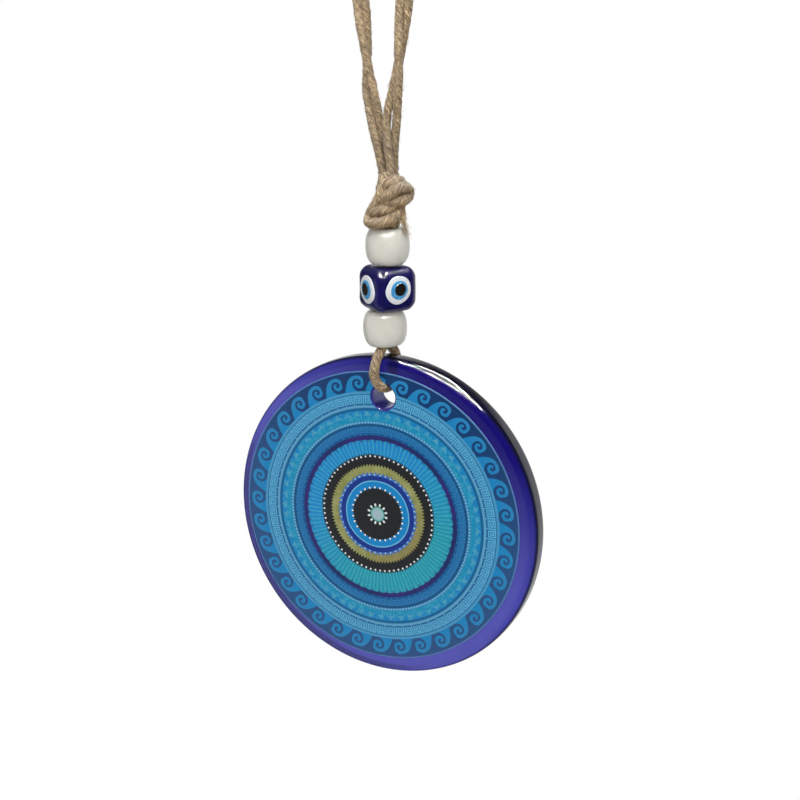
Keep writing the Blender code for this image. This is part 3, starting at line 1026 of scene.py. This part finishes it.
def make_hanging_loop(finish):
    """The two strands of the loop. They darken a little towards the knot, as painted shade."""
    for name, node, strand, seed in (
        ("hanging_loop_front_yarn", "hanging_loop_front", 1, 11),
        ("hanging_loop_rear_yarn", "hanging_loop_rear", -1, 12),
    ):
        parts = MeshParts()
        add_yarn(parts, loop_path(strand), YARN_RADIUS, seed, fuzz=2.6, flyaway=0.8)
        heights = np.array(parts.points)[:, 2]
        # Painted shade: the strands are painted darker towards the knot, where they gather
        parts.tone_and_painted_shade = np.array(parts.tone_and_painted_shade) * np.interp(heights, (98, 124), (0.76, 1.0))
        cord = yarn_object(name, parts, finish)
        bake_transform(cord)
        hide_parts(node)


KNOT_YARN_RADIUS = 1.52
KNOT_LEAN = math.radians(25.6)
SIDEWAYS = np.array((math.cos(KNOT_LEAN), math.sin(KNOT_LEAN), 0.0))
TOWARDS = np.array((math.sin(KNOT_LEAN), -math.cos(KNOT_LEAN), 0.0))
UPWARDS = np.array((0.0, 0.0, 1.0))


def in_knot(right, near, height):
    """A place in the knot, seen from its front: to the right, towards the eye and up."""
    return np.array((0, CORD_Y, 0)) + right * SIDEWAYS + near * TOWARDS + height * UPWARDS


# Centre lines of the knot's strands, as places in the knot
KNOT_STRANDS = (
    # down the left side, round under the front, up the right and over behind to the top
    (
        (-0.4, 1.5, 97.6), (-1.2, 2.4, 94.2), (-2.3, 2.6, 91.4), (-3.4, 2.2, 88.9), (-4.8, 1.4, 86.6),
        (-5.3, 2.8, 84.6), (-3.2, 4.4, 84.4), (-0.5, 4.8, 85.2), (1.6, 3.8, 86.4), (2.7, 1.7, 88.0),
        (2.8, -1.5, 89.6), (1.6, -3.8, 91.6), (-0.8, -3.4, 92.6), (-1.6, -0.8, 93.2), (-1.3, 1.6, 94.0),
        (-0.3, 3.0, 95.0), (0.9, 3.3, 95.4), (2.1, 2.4, 95.6), (3.0, 0.4, 95.2), (3.0, -2.2, 93.4),
        (1.0, -4.1, 91.4), (-2.2, -3.2, 89.4),
    ),
    # from behind on the left, across the middle
    (
        (-2.6, -2.0, 89.4), (-4.1, 0.4, 88.0), (-3.9, 2.6, 87.3), (-1.6, 3.6, 88.0), (1.0, 3.4, 88.8),
        (2.6, 1.2, 89.0),
    ),
    # the rounded loop that stands out on the right
    (
        (-2.2, 1.0, 89.8), (-1.4, 3.0, 90.8), (0.1, 4.2, 92.1), (1.8, 4.7, 93.4), (3.1, 4.4, 94.2),
        (4.3, 3.1, 94.1), (5.2, 1.4, 93.2), (5.4, 0.8, 92.1), (5.0, 1.8, 91.2), (3.8, 3.2, 90.7),
        (1.8, 4.0, 90.4), (-0.2, 3.4, 89.9), (-1.7, 1.4, 89.2),
    ),
)


# The strands that run down inside the knot: where each starts, to the right and near, how far it bows to the
# right on its way, and where it ends
CORE_STRANDS = (
    (-1.3, 1.1, -1.6, -2.4, 1.3),
    (1.3, 1.1, 0.3, 0.8, 1.6),
    (-1.3, -1.1, -0.9, -1.4, -1.3),
    (1.4, -1.2, 0.8, 1.6, -0.8),
)
CORE_YARN_RADIUS = 1.45


def core_path(start_right, start_near, bow, end_right, end_near):
    """The centre line of a strand inside the knot."""
    return catmull(
        (
            in_knot(start_right, start_near, 97.2),
            in_knot(start_right * 0.9 + bow * 0.4, start_near, 94.5),
            in_knot(bow + start_right * 0.5, start_near * 0.9, 91.0),
            in_knot(bow * 0.7 + end_right * 0.5, end_near, 87.0),
            in_knot(end_right, end_near, 82.9),
        ),
        8,
    )


def make_knot(finish):
    """The overhand knot: its strands wrap round the four that run down through it."""
    parts = MeshParts()
    for index, strand in enumerate(KNOT_STRANDS):
        path = catmull([in_knot(*place) for place in strand], 8)
        add_yarn(parts, path, KNOT_YARN_RADIUS, 31 + index, fuzz=7.0, flyaway=2.4, tone=0.88)
    for index, core in enumerate(CORE_STRANDS):
        add_yarn(parts, core_path(*core), CORE_YARN_RADIUS, 41 + index, fuzz=0.8, flyaway=0.2, tone=0.8)
    knot = yarn_object("knot_wraps", parts, finish)
    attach(knot, "pendant")
    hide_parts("knot")


# The cut end of the cord, as places in the knot
TAIL_PATH = ((2.6, 0.6, 90.4), (3.25, 1.6, 88.2), (3.6, 2.1, 86.0), (3.75, 2.4, 84.2))
TAIL_RADIUS = 1.05
TAIL_END = (3.85, 2.4, 84.8)
TAIL_FIBRES = 60


def make_tail(finish):
    """The cut end of the cord below the knot, its fibres splayed over the bead's shoulder."""
    parts = MeshParts()
    path = catmull([in_knot(*place) for place in TAIL_PATH], 8)
    add_yarn(parts, path, TAIL_RADIUS, 51, taper=0.35, fuzz=3.0, flyaway=1.2, tone=1.12)
    chance = np.random.default_rng(52)
    for _ in range(TAIL_FIBRES):
        start = in_knot(*TAIL_END) + chance.uniform(-0.55, 0.55, 3)
        right, near, down = chance.uniform(0.0, 1.7), chance.uniform(0.6, 2.2), chance.uniform(1.6, 4.4)
        spread = right * SIDEWAYS + near * TOWARDS - down * UPWARDS
        bend = chance.uniform(0.1, 0.6) * SIDEWAYS
        line = [start + share * spread + share**2 * bend for share in np.linspace(0, 1, 6)]
        add_tube(parts, np.array(line), 0.08, chance.uniform(0.6, 1.3))
    tail = yarn_object("cord_tail_frayed", parts, finish)
    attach(tail, "pendant")
    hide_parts("cord_tail")


def make_bead_cords(finish):
    """The two strands that run down through the beads."""
    for name, node, side, seed in (
        ("bead_cord_front_yarn", "bead_cord_front", -1, 61),
        ("bead_cord_rear_yarn", "bead_cord_rear", 1, 62),
    ):
        parts = MeshParts()
        y = CORD_Y + side * BEAD_CORD_HALF_GAP
        path = [(BEAD_CORD_X, y, height) for height in np.linspace(BEAD_CORD_BOTTOM, BEAD_CORD_TOP, 20)]
        add_yarn(parts, path, BEAD_CORD_RADIUS, seed, fuzz=0.0, flyaway=0.0)
        cord = yarn_object(name, parts, finish)
        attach(cord, "pendant")
        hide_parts(node)


# The bight, down in front, back through the hole and up behind: places whose y is from the cord's plane
DISC_CORD_PATH = (
    (-0.9, -1.2, 50.2), (-1.0, -1.6, 49.5), (-1.3, -3.0, 48.2), (-1.5, -4.7, 46.6), (-1.7, -5.6, 44.4),
    (-1.7, -5.9, 42.2), (-1.2, -5.8, 40.4), (-0.3, -4.8, 38.9), (0, -2.8, 38.0), (0, 0, 37.7), (0, 2.8, 37.8),
    (-0.1, 4.8, 38.6), (-0.2, 5.6, 40.6), (-0.3, 5.7, 43.4), (-0.5, 5.3, 46.0), (-0.5, 3.7, 47.8),
    (-0.4, 2.0, 48.8), (-0.2, 1.3, 49.6), (-0.1, 1.2, 50.2),
)


def make_disc_cord(finish):
    """The bight the disc hangs on. Its top runs on up into the lower bead with the strands there."""
    path = catmull([(x, CORD_Y + y, z) for x, y, z in DISC_CORD_PATH], 6)
    parts = MeshParts()
    add_yarn(parts, path, DISC_CORD_RADIUS, 71, fuzz=4.0, flyaway=0.9, tone=0.86)
    bight = yarn_object("disc_cord_yarn", parts, finish)
    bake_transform(bight)
    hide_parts("disc_cord")


# ---------------------------------------------------------------- stage


CAMERA_PLACE = (0.1968, -0.4148, 0.1633)
CAMERA_AZIMUTH = math.radians(25.2)
CAMERA_PITCH = math.radians(15.87)
CAMERA_LENS = 76.07

FLOOR_Z = -0.45
FLOOR_HALF = 4.0
SQUARE = ((-1, -1), (1, -1), (1, 1), (-1, 1))

# The world's brightness: the light it gives, what gloss sees of it in four directions, and through the glass
WORLD_LIGHT = 0.56
CEILING_SHARE = 0.15
GLOSS_FRONT = 0.06
GLOSS_BEHIND = 0.85
GLOSS_LOW_LEFT = 0.7
GLOSS_ABOVE = 0.1
THROUGH_GLASS = 0.95

# Soft lights: name, place in metres, width in metres and watts
AREA_LIGHTS = (
    ("overhead", (0.1, -0.3, 0.9), 0.8, 9.0),
    ("front", (0.5, -1.1, 0.4), 0.7, 5.0),
    ("behind", (-0.4, 1.0, 0.5), 0.8, 5.0),
)
LIGHT_AIM = (0, 0, 0.05)

# The frame of lamps, in metres
LAMP_STRENGTH = 2600.0
LAMP_HEIGHT = 0.48
LAMP_BACK = 0.10
LAMP_FRONT = 0.42
LAMP_SIDE = 0.185
LAMP_HALF = 0.003
LAMPS_A_SIDE = 30


def make_camera():
    """The camera, where the photograph was taken from."""
    camera = bpy.data.cameras.new("camera")
    camera.lens = CAMERA_LENS
    camera.sensor_width = 36.0
    camera.clip_start = 0.01
    obj = linked("camera", camera)
    level = math.cos(CAMERA_PITCH)
    right = -math.sin(CAMERA_AZIMUTH) * level
    ahead = math.cos(CAMERA_AZIMUTH) * level
    look = Vector((right, ahead, -math.sin(CAMERA_PITCH)))
    obj.location = CAMERA_PLACE
    obj.rotation_euler = look.to_track_quat("-Z", "Y").to_euler()
    bpy.context.scene.camera = obj


def make_world():
    """White all round for the eye and through the glass. The light itself is dimmer, with a dark ceiling, and
    what the gloss reflects is dark in front but for a pale patch low on the left."""
    world = bpy.data.worlds.new("studio")
    bpy.context.scene.world = world
    world.use_nodes = True
    tree = world.node_tree
    background = tree.nodes["Background"]
    split = tree.nodes.new("ShaderNodeSeparateXYZ")
    tree.links.new(tree.nodes.new("ShaderNodeTexCoord").outputs["Generated"], split.inputs[0])
    x, y, z = [Field(tree, output) for output in split.outputs]
    dim = z.over(0.36, 0.16)
    light = mixed(tree, dim, grey(WORLD_LIGHT), grey(WORLD_LIGHT * CEILING_SHARE))
    patch = (x + z).under(-0.68, 0.2).both(y.under(-0.2, 0.2))
    seen = mixed(tree, y.over(0.5, 0.5), grey(GLOSS_FRONT), grey(GLOSS_BEHIND))
    seen = mixed(tree, patch, seen, grey(GLOSS_LOW_LEFT))
    seen = mixed(tree, dim, seen, grey(GLOSS_ABOVE))
    path = tree.nodes.new("ShaderNodeLightPath")
    colour = mixed(tree, path.outputs["Is Glossy Ray"], light, seen)
    colour = mixed(tree, path.outputs["Is Transmission Ray"], colour, grey(THROUGH_GLASS))
    colour = mixed(tree, path.outputs["Is Camera Ray"], colour, grey(1.0))
    tree.links.new(colour, background.inputs["Color"])
    background.inputs["Strength"].default_value = 1.0


def grey(level):
    """A neutral colour of linear light."""
    return (level, level, level)


def make_floor():
    """A plain pale floor well below the ornament."""
    material = bpy.data.materials.new("pale_floor")
    material.use_nodes = True
    tree = material.node_tree
    shader = tree.nodes["Principled BSDF"]
    shader.inputs["Base Color"].default_value = (0.86, 0.86, 0.86, 1)
    shader.inputs["Roughness"].default_value = 0.9
    shader.inputs["Specular IOR Level"].default_value = 0.0
    glow = tree.nodes.new("ShaderNodeEmission")
    glow.inputs["Color"].default_value = (1, 1, 1, 1)
    path = tree.nodes.new("ShaderNodeLightPath")
    mix = tree.nodes.new("ShaderNodeMixShader")
    tree.links.new(path.outputs["Is Camera Ray"], mix.inputs[0])
    tree.links.new(shader.outputs[0], mix.inputs[1])
    tree.links.new(glow.outputs[0], mix.inputs[2])
    tree.links.new(mix.outputs[0], tree.nodes["Material Output"].inputs["Surface"])
    mesh = bpy.data.meshes.new("floor")
    corners = [(x * FLOOR_HALF, y * FLOOR_HALF, FLOOR_Z) for x, y in SQUARE]
    mesh.from_pydata(corners, [], [(0, 1, 2, 3)])
    mesh.materials.append(material)
    floor = linked("floor", mesh)
    floor.visible_glossy = False
    floor.visible_transmission = False


def make_area_light(name, place, size, watts):
    """A soft square light that neither the gloss nor the glass shows."""
    light = bpy.data.lights.new(name, "AREA")
    light.shape = "SQUARE"
    light.size = size
    light.energy = watts
    obj = linked(name, light)
    obj.location = place
    obj.rotation_euler = (Vector(LIGHT_AIM) - Vector(place)).to_track_quat("-Z", "Y").to_euler()
    obj.visible_glossy = False
    obj.visible_transmission = False


def make_lamp_frame():
    """A rectangle of small lamps overhead, for the gloss of the beads and the rim to pick up."""
    material = bpy.data.materials.new("lamp")
    material.use_nodes = True
    tree = material.node_tree
    glow = tree.nodes.new("ShaderNodeEmission")
    glow.inputs["Strength"].default_value = LAMP_STRENGTH
    tree.links.new(glow.outputs[0], tree.nodes["Material Output"].inputs["Surface"])
    towards = Vector((math.sin(CAMERA_AZIMUTH), -math.cos(CAMERA_AZIMUTH), 0))
    sideways = Vector((math.cos(CAMERA_AZIMUTH), math.sin(CAMERA_AZIMUTH), 0))
    corners = (
        (-LAMP_BACK, -LAMP_SIDE),
        (LAMP_FRONT, -LAMP_SIDE),
        (LAMP_FRONT, LAMP_SIDE),
        (-LAMP_BACK, LAMP_SIDE),
    )
    points = []
    faces = []
    for start, end in zip(corners, corners[1:] + corners[:1]):
        for lamp in range(LAMPS_A_SIDE):
            share = (lamp + 0.5) / LAMPS_A_SIDE
            near = start[0] + (end[0] - start[0]) * share
            across = start[1] + (end[1] - start[1]) * share
            base = len(points)
            for a, b in SQUARE:
                place = (near + a * LAMP_HALF) * towards + (across + b * LAMP_HALF) * sideways
                points.append((place.x, place.y, LAMP_HEIGHT))
            faces.append((base, base + 1, base + 2, base + 3))
    mesh = bpy.data.meshes.new("lamp_frame")
    mesh.from_pydata(points, [], faces)
    mesh.materials.append(material)
    frame = linked("lamp_frame", mesh)
    frame.visible_camera = False
    frame.visible_diffuse = False
    frame.visible_transmission = False


def make_stage():
    """Camera, world, floor and lights."""
    make_camera()
    make_world()
    make_floor()
    for light in AREA_LIGHTS:
        make_area_light(*light)
    make_lamp_frame()
    bpy.context.scene.view_settings.view_transform = "Standard"


def build():
    """Lays the visual pieces over the CAD and sets the stage."""
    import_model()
    jute = jute_finish()
    glaze = glaze_finish()
    eyes = {
        "white": eye_finish("eye_white_glass", (224, 228, 232), (240, 242, 246)),
        "iris": eye_finish("eye_blue_glass", (56, 142, 204), (92, 170, 218)),
        "pupil": eye_finish("eye_black_glass", (12, 10, 10), (28, 22, 18)),
    }
    make_glass_disc(cobalt_finish())
    make_print(printed_finish())
    make_white_bead("lower_bead_glazed", "lower_bead", LOWER_BEAD_Z, 3.0, glaze, math.radians(3.0), -1.2)
    make_white_bead("upper_bead_glazed", "upper_bead", UPPER_BEAD_Z, 8.0, glaze, 0.0, -0.4)
    make_cube_bead(cube_finish())
    make_eyes(eyes)
    make_hanging_loop(jute)
    make_knot(jute)
    make_tail(jute)
    make_bead_cords(jute)
    make_disc_cord(jute)
    make_stage()


build()
